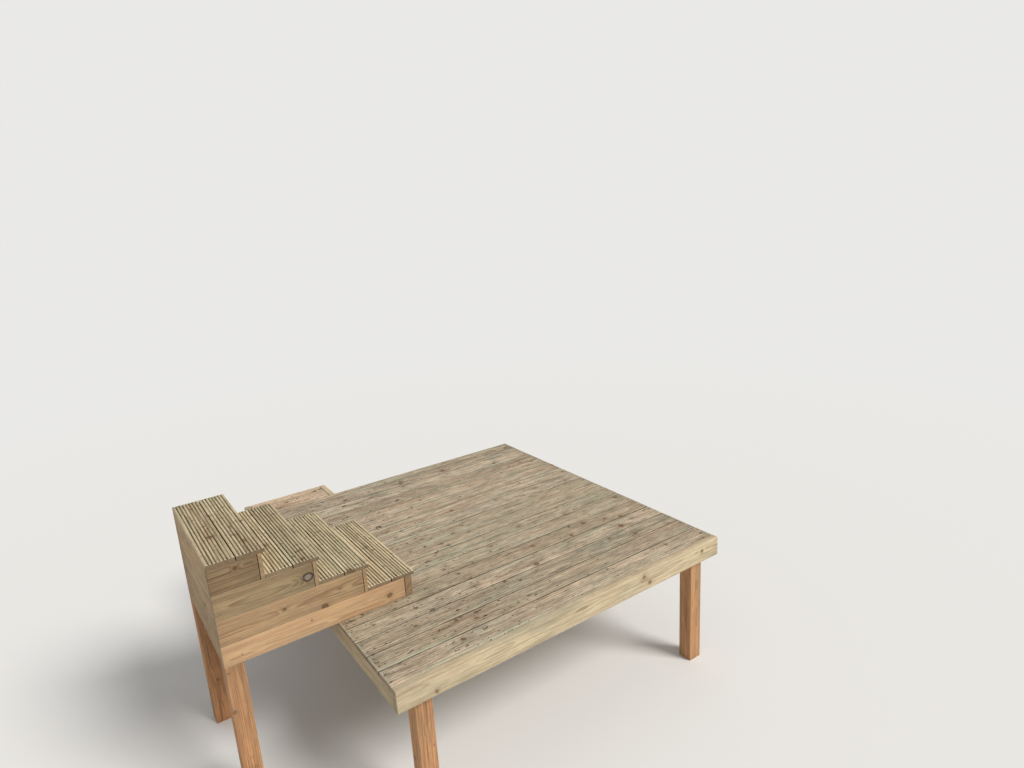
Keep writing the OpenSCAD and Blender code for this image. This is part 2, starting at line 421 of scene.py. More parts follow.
class Wood(Finish):
    """A finish cut from a log.

    The growth rings are shells round the log's heart: ring number = distance from the heart over
    the ring gap, bent by slow noise along the log. A knot is a cone that leaves the heart, and it
    pushes the rings outwards around it, so that the grain flows past it on every face.
    """

    WARM = (0.46, 0.27, 0.15)
    GREEN = (0.31, 0.33, 0.20)
    CLOUD = (0.21, 0.145, 0.085)
    KNOT_PALE = (0.27, 0.155, 0.075)
    KNOT_GREY = (0.36, 0.29, 0.235)
    KNOT_DARK = (0.13, 0.07, 0.035)
    KNOT_RING = (0.045, 0.030, 0.022)
    # Dark brown of iron stains round screws and of soil in open joints; in the joints it is also painted
    # shade
    DIRT = (0.066, 0.043, 0.024)
    CRUMB = (0.047, 0.031, 0.019)
    # Crumbs of three sizes: distance between two of them, and size
    CRUMBS = ((170 * MM, 19 * MM), (80 * MM, 11 * MM), (36 * MM, 5.5 * MM))
    # Places for a knot: metres along the log and radians round it
    KNOT_PLACES = (0.42, 0.62)
    # How far the log bends, and how far its rings give way to a knot
    LOG_BEND = 34 * MM
    RINGS_GIVE = 10 * MM

    def __init__(self, name, look, dirt=None, lying=0.9, crumbs=0.0, roughness=0.76):
        super().__init__(bpy.data.materials.new(name))
        self.look = look
        self.along, self.across, self.out = self.attribute("grain")
        self.from_start, self.from_finish, self.groove = self.attribute("ends")
        self.from_left, self.from_right, self.iron = self.attribute("edges")
        self.cap = self.number("cap")
        self.face = 1.0 - self.cap
        self.joint = self.number("joint")
        self.cut_log()
        self.grow_knots()
        self.streak()
        self.weather()
        self.show_knots()
        if dirt is not None:
            self.dirty_and_shaded(dirt, lying)
        if crumbs:
            self.scatter(crumbs)
        self.coat(self.iron * 0.55, self.DIRT)
        self.shade()
        self.cover(roughness)

    def coat(self, amount, tint):
        """Lays a colour over the wood as it is so far."""
        self.body = self.mix(amount, self.body, tint)

    def stretched(self, along, across, detail=2.0, roughness=0.5, output="Fac"):
        """Noise drawn out along the grain: so many waves a metre along it and across it."""
        place = self.vector(self.along * along, self.across * across, self.out * across)
        return self.noise(place, detail, roughness, output)

    def waves(self, along, across, gain, detail=2.0, roughness=0.5):
        """Stretched noise about zero, made stronger by gain."""
        return (self.stretched(along, across, detail, roughness) - 0.5) * gain

    def cut_log(self):
        """How far from the log's heart a point lies, and at which angle round it."""
        drift = self.parts(self.stretched(1.5, 4.0, output="Color"))
        across = self.across + (drift[0] - 0.5) * self.LOG_BEND
        out = self.out + (drift[1] - 0.5) * self.LOG_BEND
        self.heart = self.distance(across, out)
        self.turn = self.math("ARCTAN2", across, out)

    def grow_knots(self):
        """Distance from the nearest knot, where 1 is its rim: random ones and the large named one."""
        gap_along, gap_round = self.KNOT_PLACES
        places = self.vector(self.along / gap_along, self.turn / gap_round, 0.0)
        _, chance, centre = self.cells(places, 0.9)
        along = (self.along - centre[0] * gap_along) * 0.75
        around = (self.turn - centre[1] * gap_round) * self.heart
        size = self.heart * (chance[0] * 0.075 + 0.03) * (chance[1] < self.look.knots)
        own = self.over(self.distance(along, around), size)
        along, across, radius = self.attribute("knot")
        large = self.over(self.distance(along, across, 0.75), radius)
        self.large = self.ramp(large, 1.2, 1.5, 1.0, 0.0) * (radius > 20 * MM)
        ragged = self.waves(60.0, 60.0, 1.0, 3.0) * (1.2 - self.large * 0.85)
        self.knot = self.math("MINIMUM", own, large) + ragged
        self.pale_core = self.ramp(chance[2], 0.35, 0.65)
        beyond = self.math("MAXIMUM", self.knot - 1.0, 0.0)
        self.swirl = self.math("EXPONENT", beyond * -0.9)

    def streak(self):
        """Pale early wood, dark late wood at the end of each ring, and streaks along the grain."""
        look = self.look
        phase = self.math("FRACT", (self.heart + self.swirl * self.RINGS_GIVE) / look.ring_gap)
        self.late = self.ramp(phase, 0.30, 0.93) * self.ramp(phase, 0.93, 1.0, 1.0, 0.0)
        self.fibre = self.waves(12.0, 520.0, 1.0, 3.0, 0.62)
        self.streaks = self.waves(0.9, 34.0, 2.6, 3.0) + self.waves(3.2, 105.0, 3.8, 3.0, 0.6)
        rings = self.late * (self.swirl * 0.35 + look.contrast)
        shade = rings + self.streaks * look.streaks + 0.10
        self.body = self.mix(self.limit(shade), look.pale, look.dark)

    def weather(self):
        """Stained patches, clouds, mottling, a hue that wanders, pale strips, and worn arrises and ends,
        paler both from wear and as a painted highlight.
        """
        look = self.look
        self.light, warm, green = self.attribute("tone")
        patch = self.stretched(2.4, 10.0, 4.0, 0.6)
        self.coat(self.ramp(patch, 0.44, 0.66) * look.stained, look.stain)
        cloud = self.stretched(2.0, 13.0, 3.0, 0.55) + self.swirl * 0.16
        self.coat(self.ramp(cloud, 0.55, 0.74) * look.cloudy, self.CLOUD)
        mottle = self.waves(7.0, 34.0, 1.0, 4.0, 0.65) + self.waves(26.0, 95.0, 0.55, 3.0, 0.6)
        self.body = self.scale(self.body, mottle * (2.0 * look.mottled) + 1.0)
        wander = self.waves(1.3, 9.0, 1.1, 3.0, 0.55)
        self.coat(self.limit((green - wander) * 0.6), self.GREEN)
        self.coat(self.limit((warm + wander) * 0.55), self.WARM)
        for side, away in enumerate((self.from_left, self.from_right)):
            here = self.ramp(self.noise(self.vector(self.along * 0.8, 7.0 * side, 0.0), 1.0), 0.50, 0.62)
            strip = self.ramp(away + self.streaks * (5 * MM), 8 * MM, 30 * MM, 1.0, 0.0)
            self.coat(strip * here * (look.edges * (0.70 - 0.35 * side)), look.rubbed)
        # Worn arrises and board ends are made paler: wear, and a painted highlight along these edges as well
        rubbed = self.ramp(self.number("arris"), 0.5 * MM, 3.5 * MM, 0.30, 0.0) * (self.streaks + 0.6)
        self.nearest_end = self.math("MINIMUM", self.from_start, self.from_finish)
        rubbed_and_highlit_end = self.ramp(self.nearest_end, 5 * MM, 17 * MM, 0.6, 0.0) * look.edges
        self.coat((rubbed + rubbed_and_highlit_end) * self.face, look.rubbed)

    def show_knots(self):
        """Wood pulled round a knot, its core with year rings, and a dark ring round it."""
        self.coat(self.swirl * 0.46, self.KNOT_PALE)
        self.core = self.ramp(self.knot, 0.84, 1.04, 1.0, 0.0)
        year = self.math("FRACT", self.knot * 3.4)
        pale = self.mix(self.large, self.KNOT_PALE, self.KNOT_GREY)
        paleness = self.limit(self.pale_core + self.large - year * 0.45)
        plain = self.large * 0.22 + 0.66
        self.coat(self.core * plain, self.mix(paleness, self.KNOT_DARK, pale))
        inner = self.ramp(self.knot, 0.62 - self.large * 0.14, 0.92)
        self.ring = inner * self.ramp(self.knot, 1.0, 1.20, 1.0, 0.0)
        self.coat(self.ring * plain, self.KNOT_RING)

    def dirty_and_shaded(self, dirt, lying):
        """Soil and painted shade in the grooves and in the open joints between boards, and brown smudges of
        soil, mostly by the joints.
        """
        # Groove floors are darkened: soil lying in them, and painted shade as well
        in_groove = self.groove * lying * (self.streaks * 0.35 + 0.86)
        self.coat(self.limit(in_groove, 0.0, 0.95) * self.face, dirt)
        nearest = self.math("MINIMUM", self.from_left, self.from_right)
        patch = self.stretched(5.0, 16.0, 4.0, 0.6) - self.ramp(nearest, 0.0, 30 * MM) * 0.16
        self.coat(self.ramp(patch, 0.50, 0.66) * 0.36, self.CLOUD)
        # Painted shade: the sides of an open joint are darkened to dark brown, for soil lodged there and for
        # the shade in the gap
        packed_dirt_and_shade = self.ramp(self.stretched(3.0, 2.0, 3.0), 0.38, 0.60, 0.62, 0.96)
        self.coat(self.joint * self.face * packed_dirt_and_shade, self.DIRT)

    def scatter(self, crumbs):
        """Crumbs of soil: blots with rough edges round random points, more of them by the steps."""
        x, y, _ = self.place()
        crowd = self.ramp(x, -0.30, 0.55, 0.85, 0.05)
        for gap, size in self.CRUMBS:
            rough = self.noise(self.vector(x * (0.9 / size), y * (1.3 / size), gap), 3.0, 0.55)
            away, chance, _ = self.cells(self.vector(x * (0.6 / gap), y / gap, 0.0))
            heap = 1.0 - away / ((chance[1] + 0.30) * (size / gap))
            blot = self.ramp(heap + (rough - 0.5) * 2.6, 0.34, 0.50)
            there = (chance[0] < crowd) * crumbs
            self.coat(blot * there * (chance[2] * 0.4 + 0.6), self.CRUMB)

    def shade(self):
        """Darker end grain, a damp stretch near each end, and a board's own lightness."""
        end_shade = self.look.end_shade
        self.coat(self.cap * (1.2 * end_shade), self.WARM)
        damp = self.math("EXPONENT", self.nearest_end * -26.0) * 0.13
        self.body = self.scale(self.body, 1.0 - damp - self.cap * end_shade)
        self.body = self.scale(self.body, self.fibre * 0.6 + self.light + 1.0)

    def cover(self, roughness):
        """The shader, with a bump of raised late wood, fibres and knots and sunken knot rings."""
        height = self.late * 0.45 + self.fibre * 1.3 + self.core * 0.6 - self.ring * 0.9 + self.streaks * 0.2
        bump = {"Height": height, "Strength": 0.6, "Distance": 0.8 * MM}
        self.end(self.take(0, "ShaderNodeBsdfPrincipled", {
            "Base Color": self.body,
            "Roughness": self.fibre * 0.25 + roughness,
            "Specular IOR Level": 0.28,
            "Normal": self.take("Normal", "ShaderNodeBump", bump),
        }))


def deck_wood(look):
    """Weathered reeded softwood: grey beige with pale green edges, soil and painted shade in its grooves, and
    soil on it.
    """
    return Wood("weathered_deck_wood", look, look.dirt, lying=0.74, crumbs=0.90, roughness=0.78).owner


def tread_wood(look):
    """Fresh green-treated boards with dark soil and painted shade in their grooves."""
    return Wood("grooved_tread_wood", look, look.dirt, lying=0.92, crumbs=0.60, roughness=0.74).owner


def box_wood(look):
    """Thin sawn boards, brown where they stay damp."""
    return Wood("box_board_wood", look).owner


def framing_wood(look):
    """Pale sawn softwood with clear rings and knots."""
    return Wood("framing_wood", look).owner


def post_wood(look):
    """Brown-treated posts."""
    return Wood("post_wood", look).owner


def screw_metal(look):
    """A dark coated screw head, dull and a little metallic."""
    s = Finish(bpy.data.materials.new("coated_screw"))
    specks_per_metre = 400
    specks = s.noise(s.vector(*[part * specks_per_metre for part in s.place()]))
    tint = s.mix(specks, look.metal, look.worn)
    coated = {"Base Color": tint, "Roughness": 0.5, "Metallic": 0.6}
    return s.end(s.take(0, "ShaderNodeBsdfPrincipled", coated))


def floor_finish(look):
    """A pale floor that takes shadows near the jetty, and further off shows the backdrop's colour
    to the camera, so that floor and backdrop run into each other. It is clear from below."""
    s = Finish(bpy.data.materials.new("plain_floor"))
    x, y, _ = s.place()
    seen = s.take("Is Camera Ray", "ShaderNodeLightPath")
    far = s.ramp(s.distance(x, y), look.shaded, look.faded) * seen
    matt = s.take(0, "ShaderNodeBsdfDiffuse", {"Color": rgba(look.floor)})
    glow = s.take(0, "ShaderNodeEmission", {"Color": rgba(look.backdrop)})
    below = s.take("Backfacing", "ShaderNodeNewGeometry")
    return s.end(s.blend(below, s.blend(far, matt, glow), s.take(0, "ShaderNodeBsdfTransparent")))


def stations(total, step, marks, reach):
    """Places along a timber: even ones, close ones at both eased ends, and close ones around marks."""
    even = np.linspace(0, total, max(int(round(total / step)), 1) + 1)
    close = (np.asarray(marks)[:, None] + reach[None]).ravel()
    eased = np.array([0, 0.6, 1.6, 4, 12]) * MM
    places = np.concatenate([even, close, eased, total - eased])
    places = np.unique(np.round(places[(places >= 0) & (places <= total)], 5))
    keep = np.concatenate([[True], np.diff(places) > 0.3 * MM])
    keep[-1] = True
    return places[keep]


def corner(across, up, radius, first_angle, points=4):
    """A quarter circle about (across, up), turning left from first_angle."""
    angle = first_angle + np.linspace(0, math.pi / 2, points)
    return np.stack([across + radius * np.cos(angle), up + radius * np.sin(angle)], 1)


def flat(start, end, count):
    """Even points strictly between two ends of a face."""
    along = np.linspace(0, 1, count + 2)[1:-1, None]
    return np.asarray(start) * (1 - along) + np.asarray(end) * along


def plain_section(wide, high, radius, spacing=15 * MM):
    """Closed loop round a sawn timber, wide across and high up, turning left: four rounded
    arrises with even points on the faces between them."""
    r = radius
    columns = max(int(wide / spacing), 1)
    rows = max(int(high / spacing), 1)
    return np.concatenate([
        flat((r, 0), (wide - r, 0), columns),
        corner(wide - r, r, r, -math.pi / 2),
        flat((wide, r), (wide, high - r), rows),
        corner(wide - r, high - r, r, 0),
        flat((wide - r, high), (r, high), columns),
        corner(r, high - r, r, math.pi / 2),
        flat((0, high - r), (0, r), rows),
        corner(r, r, r, math.pi),
    ])


def grooved_section(wide, high, radius, pitch, top, floor, depth):
    """Closed loop round a grooved board: even ribs with worn shoulders, and grooves whose sides
    lean in from top at the surface to floor at their depth."""
    centres = pitch * np.arange(1, int((wide - top) / pitch) + 1)
    # From the middle of a rib over its worn shoulder to the groove's floor: distance from the
    # groove's middle, and depth
    side = ((pitch / 2, 0), (top / 2 + 3.2 * MM, 0), (top / 2 + 1.1 * MM, 0.08 * MM),
            (top / 2 + 0.2 * MM, 0.25 * depth), (floor / 2, depth))
    right = np.array(side) * [1, -1]
    left = (right * [-1, 1])[::-1]
    groove = np.concatenate([right, left[:-1]])
    run = (centres[::-1, None, None] * [1, 0] + groove[None]).reshape(-1, 2) + [0, high]
    r = radius
    return np.concatenate([
        flat((r, 0), (wide - r, 0), 3),
        corner(wide - r, r, r, -math.pi / 2, 3),
        corner(wide - r, high - r, r, 0),
        run,
        corner(r, high - r, r, math.pi / 2),
        corner(r, r, r, math.pi, 3),
    ])


def outward(loop):
    """Unit vectors that point out of a closed loop that turns left, one for each of its points."""
    ahead = np.roll(loop, -1, 0) - np.roll(loop, 1, 0)
    out = np.stack([ahead[:, 1], -ahead[:, 0]], 1)
    return out / np.maximum(np.linalg.norm(out, axis=1, keepdims=True), 1e-9)


def ripple(along, rng, lengths):
    """Slow waves along a timber: the mean of sines of the given lengths with random phases."""
    phases = rng.uniform(0, 2 * math.pi, len(lengths))
    waves = [np.sin(2 * math.pi * along / each + phase) for each, phase in zip(lengths, phases)]
    return np.mean(waves, 0)


def random_tone(rng, light=0.11, warm=0.30, green=0.35):
    return (rng.uniform(-light, light), rng.uniform(0, warm), rng.uniform(0, green))


class Timber:
    """One sawn piece: its box, the axis that it runs along, and what is particular to it."""

    groove = 0.0
    joints = (False, False)
    boxed_heart = False
    # Depth of the wear on a flat face, of the hollow at a screw, of a board's cupping and of its
    # waves, and length of the eased stretch at each end
    wear = 0.4 * MM
    dished = 1.4 * MM
    cupped = 0.8 * MM
    waved = 0.35 * MM
    eased = 1.6 * MM
    # How far along a large knot counts, how far iron stains the wood round a screw, how far soil and
    # painted shade from an open joint come up the edge beside it, and how far from an edge grooves stay free
    # of soil and shade
    knot_reach = 110 * MM
    stained = 9 * MM
    edge_dirt_and_shade = 2.2 * MM
    clean_unshaded_edge = 6 * MM
    # What counts as the upper face: a share of the height, and for screws a depth under the face
    upper_share = 0.6
    face_depth = 2 * MM
    sharp_angle = math.radians(38)

    def __init__(self, name, low, high, axis):
        self.name = name
        self.low = np.array(low, float)
        self.high = np.array(high, float)
        self.axis = axis
        self.cross = [i for i in (ALONG_X, ALONG_Y, ALONG_Z) if i != axis]
        self.rng = draw(name)
        self.screws = np.zeros((0, 2))
        self.tone = TONES.get(name) or [random_tone(self.rng)] * 2
        self.knots = KNOTS.get(name, ())
        self.splits = []

    @property
    def long(self):
        return (self.high - self.low)[self.axis]

    @property
    def size(self):
        return (self.high - self.low)[self.cross]

    def trim(self):
        """Cuts both ends a little short, each by its own amount."""
        self.low[self.axis] += self.rng.uniform(0, TRIMMED)
        self.high[self.axis] -= self.rng.uniform(0, TRIMMED)

    def skin(self, section, step, hollow):
        """Points of the surface: the section at each station, less its wear.

        point = section point - outward x (wear + hollow round a screw + split), and close to the
        ends the section is drawn in by up to 1.1 mm.
        """
        u = stations(self.long, step, np.unique(self.screws[:, 0]), BESIDE_SCREW)
        loop = np.broadcast_to(section, (len(u), *section.shape)).copy()
        out = outward(section)
        dents = np.stack([ripple(u, self.rng, (0.9, 0.31, 0.13, 0.057)) for _ in section], 1)
        dents = (dents + np.roll(dents, 1, 1) + np.roll(dents, -1, 1)) / 3
        before, after = np.roll(out, 1, 0), np.roll(out, -1, 0)
        bend = np.abs(before[:, 0] * after[:, 1] - before[:, 1] * after[:, 0])
        worn = self.wear * (0.3 + 2.0 * np.minimum(bend, 1))[None] * np.abs(dents)
        loop -= out[None] * worn[..., None]
        if self.groove:
            self.settle(u, loop, section)
        if len(self.screws):
            self.from_screw = self.around_screws(u, section)
            top = section[:, 1] > self.size[1] - self.face_depth
            depth = self.dished * np.clip(1 - (self.from_screw / hollow) ** 2, 0, 1)
            loop[..., 1] -= np.where(top[None], depth, 0)
        self.split(u, loop, section, out)
        gap = np.minimum(u, self.long - u)
        shrink = np.clip(self.eased - gap, 0, self.eased)[:, None, None] * 0.7
        middle = self.size / 2
        loop += np.sign(middle - section) * np.minimum(shrink, np.abs(middle - section))
        return u, loop

    def settle(self, u, loop, section):
        """Cups a board's face and lets it wave: the face sinks by cup x (share of the half width)
        squared, or by the rest of it in the middle, and by slow waves along the board."""
        share_out = (section[:, 0] / self.size[0] * 2 - 1) ** 2
        cup = self.rng.uniform(-self.cupped, self.cupped)
        sunk = cup * share_out if cup > 0 else -cup * (1 - share_out)
        wave = self.waved * (1 + ripple(u, self.rng, (1.7, 0.8)))
        top = section[:, 1] > self.size[1] * self.upper_share
        loop[..., 1] -= np.where(top[None], sunk[None] + wave[:, None], 0)

    def around_screws(self, u, section):
        """Distance of every point of the face from the nearest screw."""
        return np.hypot(
            u[:, None, None] - self.screws[None, None, :, 0],
            section[None, :, None, 0] - self.screws[None, None, :, 1],
        ).min(2)

    def split(self, u, loop, section, out):
        """Drying splits: at the section point nearest a line, the skin goes in by a depth that
        rises and falls as a half sine along the split, and its neighbours close up beside it."""
        for begin, end, at, depth in self.splits:
            here = int(np.argmin(np.linalg.norm(section - np.asarray(at), axis=1)))
            rise = np.sin(np.clip((u - begin) / (end - begin), 0, 1) * math.pi)
            loop[:, here] -= out[here][None] * (depth * rise)[:, None]
            for side in (-1, 1):
                beside = (here + side) % len(section)
                pull = section[here] - section[beside]
                reach = np.linalg.norm(pull)
                keep = 0.25 * MM + 0.9 * MM * rise
                near = (rise > 0.02)[:, None]
                loop[:, beside] += np.where(near, (pull / reach)[None] * (reach - keep)[:, None], 0)

    def log(self):
        """Where the log's heart lies: how far along, across the wide face and out of it."""
        wide = float(self.size.max())
        if self.boxed_heart:
            return np.array([self.rng.uniform(0, 40), *(wide * self.rng.uniform(0.35, 0.65, 2))])
        return np.array([
            self.rng.uniform(0, 40), wide * self.rng.uniform(0.25, 0.75), -wide * self.rng.uniform(0.2, 0.8),
        ])

    def from_knots(self, u, v):
        """Along and across to the nearest large knot, and its radius. Away from the knots both
        distances grow to a large value, so that no point between two of them reads as zero."""
        nearest = np.full(len(u), -1)
        for number, (along, _, _) in enumerate(self.knots):
            nearest[np.abs(u - along) < self.knot_reach] = number
        knots = np.array([(FAR_AWAY, FAR_AWAY, 10 * MM), *self.knots])[nearest + 1, None]
        none = (nearest < 0)[:, None]
        along = np.where(none, FAR_AWAY, u[:, None] - knots[..., 0])
        across = np.where(none, FAR_AWAY, v - knots[..., 1])
        return np.stack(np.broadcast_arrays(along, across, knots[..., 2]), -1)

    def paint(self, mesh, u, section):
        """Gives the mesh what the wood finish reads, from the section before its wear."""
        wide_first = self.size[0] >= self.size[1]
        v, w = section.T if wide_first else section.T[::-1]
        wide, thick = self.size if wide_first else self.size[::-1]
        shape = (len(u), len(section))
        heart = self.log()
        upper = w > thick * self.upper_share
        from_edge = np.minimum(v, wide - v)
        sunk = joint = np.zeros(len(section))
        iron = np.zeros(shape)
        if self.groove:
            deep = np.clip((self.size[1] - section[:, 1]) / self.groove, 0, 1)
            sunk = deep * upper * (from_edge > self.clean_unshaded_edge)
        for away, open_side in zip((v, wide - v), self.joints):
            joint = np.maximum(joint, open_side * np.clip(1 - away / self.edge_dirt_and_shade, 0, 1))
        if len(self.screws):
            iron = np.clip(1 - self.from_screw / self.stained, 0, 1) * upper

        def rows(*values):
            return np.stack([np.broadcast_to(value, shape) for value in values], -1)

        for name, values in (
            ("grain", rows((u + heart[0])[:, None], v - heart[1], w - heart[2])),
            ("ends", rows(u[:, None], (self.long - u)[:, None], sunk)),
            ("edges", rows(v, wide - v, iron)),
            ("knot", self.from_knots(u, v)),
            ("tone", rows(*np.linspace(*self.tone, len(u)).T[..., None])),
        ):
            store(mesh, name, values, "FLOAT_VECTOR", "vector")
        store(mesh, "arris", rows(np.maximum(from_edge, np.minimum(w, thick - w))))
        store(mesh, "joint", rows(joint))
        caps = np.zeros(len(mesh.polygons))
        caps[-2:] = 1
        store(mesh, "cap", caps, domain="FACE")

    def build(self, section, material, step=40 * MM, hollow=0.0):
        """Makes the mesh object: quads between the stations, and a face over each end."""
        u, loop = self.skin(section, step, hollow)
        rows, around = loop.shape[:2]
        points = np.zeros((rows, around, 3))
        points[..., self.axis] = self.low[self.axis] + u[:, None]
        points[..., self.cross] = self.low[self.cross] + loop
        points = np.clip(points, self.low, self.high)
        quads = grid_quads(rows, around)
        first = np.arange(around)[::-1]
        last = np.arange(around) + (rows - 1) * around
        if self.axis == ALONG_Y:
            quads = quads[:, ::-1]
            first, last = first[::-1], last[::-1]
        piece = make_object(self.name, points, quads.tolist() + [first.tolist(), last.tolist()], material)
        piece.data.set_sharp_from_angle(angle=self.sharp_angle)
        self.paint(piece.data, u, section)
        return piece


def store(mesh, name, values, kind="FLOAT", field="value", domain="POINT"):
    """Puts a number or a vector for each point or face of a mesh into an attribute."""
    layer = mesh.attributes.new(name, kind, domain)
    layer.data.foreach_set(field, np.ascontiguousarray(values, np.float32).ravel())


def grid_quads(rows, around):
    """Faces between neighbouring rings of points, each ring closed."""
    row, col = np.meshgrid(np.arange(rows - 1), np.arange(around), indexing="ij")
    after = (col + 1) % around
    below, above = row * around, (row + 1) * around
    return np.stack([below + col, below + after, above + after, above + col], -1).reshape(-1, 4)


def make_object(name, points, faces, material):
    mesh = bpy.data.meshes.new(name)
    mesh.from_pydata(points.reshape(-1, 3).tolist(), [], faces)
    mesh.update()
    mesh.materials.append(material)
    return link(name, mesh)


def link(name, data):
    """Adds a mesh, a lamp or a camera to the scene, at the origin."""
    made = bpy.data.objects.new(name, data)
    bpy.context.scene.collection.objects.link(made)
    return made


def seat(piece, slot, *nodes):
    """Lets a piece ride on the frame in place of the nodes that it stands for."""
    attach(piece, BODY)
    if nodes:
        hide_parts(*nodes)


def node_box(node):
    low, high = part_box(node)
    return np.array(low), np.array(high)


def middle(node, axis):
    low, high = node_box(node)
    return float(low[axis] + high[axis]) / 2


def side_by_side(low, high, axis, deck):
    """Boxes of boards laid side by side across a node's box; the last is as wide as what is left."""
    across = ALONG_Y if axis == ALONG_X else ALONG_X
    boxes = []
    for start in np.arange(low[across], high[across] - SLIVER, deck.board_width + deck.board_gap):
        board_low, board_high = low.copy(), high.copy()
        board_low[across] = start
        board_high[across] = min(start + deck.board_width, high[across])
        boxes.append((board_low, board_high))
    return boxes


def screw_rows(width, pitch):
    """Two screws across a full board, each in the second groove from its edge, or one in a
    ripped board of five ribs or fewer."""
    ribs = round(width / pitch)
    return (2 * pitch, (ribs - 2) * pitch) if ribs > 5 else (2 * pitch,)


def screw_down(board, lines, pitch):
    """Sets a board's screws where it crosses its bearers, none of them quite in line."""
    rows = screw_rows(board.size[0], pitch)
    stray = board.rng.uniform(-STRAY, STRAY, (len(lines), len(rows)))
    board.screws = np.array([
        (line - board.low[board.axis] + stray[i, j], row)
        for i, line in enumerate(lines) for j, row in enumerate(rows)
    ])


def screw_heads(boards):
    """Where the screws of some boards enter their faces."""
    spots = []
    for board in boards:
        spot = np.zeros((len(board.screws), 3))
        spot[:, board.axis] = board.low[board.axis] + board.screws[:, 0]
        spot[:, board.cross[0]] = board.low[board.cross[0]] + board.screws[:, 1]
        spot[:, board.cross[1]] = board.high[board.cross[1]]
        spots.append(spot)
    return np.concatenate(spots)


def make_screws(name, slot, look, boards):
    """Screw heads as rings about their axes: a rim, a flat face and a six-lobed drive.

    radius of the drive = mean x (1 + 0.2 cos 6 angle). Each head is turned by its own angle.
    """
    angle = np.linspace(0, 2 * math.pi, SCREW_SIDES, endpoint=False)
    lobes = 1 + 0.2 * np.cos(6 * angle)
    share_of_head, rise = np.array(SCREW_HEAD).T[..., None]
    radius = share_of_head * look.head * np.where(np.array(DRIVE_RINGS)[:, None], lobes, 1)
    height = rise - look.sunk - SETTLED
    spots = screw_heads(boards)
    turn = draw(name).uniform(0, math.pi / 3, len(spots))[:, None, None]
    rings = len(SCREW_HEAD)
    points = np.stack([
        radius * np.cos(angle + turn), radius * np.sin(angle + turn),
        np.broadcast_to(height, (len(spots), rings, SCREW_SIDES)),
    ], -1) + spots[:, None, None, :]
    first = np.arange(len(spots))[:, None] * rings * SCREW_SIDES
    around = np.arange(SCREW_SIDES)
    quads = (grid_quads(rings, SCREW_SIDES) + first[..., None]).reshape(-1, 4).tolist()
    floors = (around + (rings - 1) * SCREW_SIDES + first).tolist()
    bottoms = (around[::-1] + first).tolist()
    seat(make_object(name, points, quads + floors + bottoms, screw_metal(look)), slot)


class GroovedBoards:
    """Grooved boards of one kind, laid one by one and then screwed down."""

    def __init__(self, context, look, material, axis, step, slot):
        self.deck = context.scene.jetty_deck
        self.screw_look = context.scene.jetty_screws
        self.look = look
        self.material = material
        self.axis = axis
        self.step = step
        self.slot = slot
        self.laid = []

    def lay(self, name, box, joints, lines, node):
        """Lays one board in its box, in place of a node, with hollows for screws on the given lines."""
        deck, look = self.deck, self.look
        board = Timber(name, *box, self.axis)
        board.joints = joints
        board.trim()
        board.groove = look.groove_depth
        screw_down(board, lines, deck.groove_pitch)
        section = grooved_section(
            *board.size, deck.arris, deck.groove_pitch,
            look.groove_width, look.groove_floor, look.groove_depth,
        )
        seat(board.build(section, self.material, self.step, self.screw_look.hollow), self.slot, node)
        self.laid.append(board)

    def screw(self, name):
        make_screws(name, self.slot, self.screw_look, self.laid)


def fit(timber, look, material, slot, node, spacing=15 * MM, step=40 * MM):
    """Builds a sawn timber with rounded arrises in place of a node."""
    section = plain_section(*timber.size, look.arris, spacing)
    seat(timber.build(section, material, step), slot, node)


class JETTY_OT_deck_boards(bpy.types.Operator):
    """Lay the reeded boards of the deck and of the ledge, screwed to what carries them"""

    bl_idname = "jetty.deck_boards"
    bl_label = "Deck boards"

    def execute(self, context):
        look = context.scene.jetty_deck
        material = deck_wood(look)
        low, high = node_box("ledge_joists")
        bearers = {
            "deck": [middle(joist, ALONG_X) for joist in JOISTS],
            "ledge": [low[ALONG_X] + SCREWS_IN, high[ALONG_X] - SCREWS_IN],
        }
        for place, lines in bearers.items():
            node = f"{place}_boards"
            digits = 2 if place == "deck" else 1
            boards = GroovedBoards(context, look, material, ALONG_X, 55 * MM, "deck_boards")
            boxes = side_by_side(*node_box(node), ALONG_X, look)
            for number, box in enumerate(boxes, 1):
                joints = (number > 1 or place == "ledge", number < len(boxes))
                boards.lay(f"{place}_board_{number:0{digits}}", box, joints, lines, node)
            boards.screw(f"{place}_screws")
        return {"FINISHED"}


class JETTY_OT_treads(bpy.types.Operator):
    """Lay two grooved tread boards on each box"""

    bl_idname = "jetty.treads"
    bl_label = "Treads"

    def execute(self, context):
        look = context.scene.jetty_treads
        boards = GroovedBoards(context, look, tread_wood(look), ALONG_Y, 40 * MM, "tread_boards")
        for step in STEPS:
            node = f"step_{step}_tread"
            lines = [middle(f"step_{step}_{part}", ALONG_Y) for part in ("near_side", "centre", "far_side")]
            boxes = side_by_side(*node_box(node), ALONG_Y, context.scene.jetty_deck)
            for place, box in zip(("back", "front"), boxes):
                joints = (step > 1 or place == "front", place == "back")
                boards.lay(f"step_{step}_{place}_tread_board", box, joints, lines, node)
        boards.screw("tread_screws")
        return {"FINISHED"}


class JETTY_OT_boxes(bpy.types.Operator):
    """Build the boxes that carry the treads"""

    bl_idname = "jetty.boxes"
    bl_label = "Step boxes"

    def execute(self, context):
        look = context.scene.jetty_boxes
        material = box_wood(look)
        runs = (("near_side", ALONG_X), ("far_side", ALONG_X), ("centre", ALONG_X),
                ("riser", ALONG_Y), ("back", ALONG_Y))
        for step in STEPS:
            for part, axis in runs:
                name = f"step_{step}_{part}"
                board = Timber(name, *node_box(name), axis)
                if axis == ALONG_X:
                    board.high[ALONG_X] -= look.joint
                fit(board, look, material, "step_boards", name)
        return {"FINISHED"}


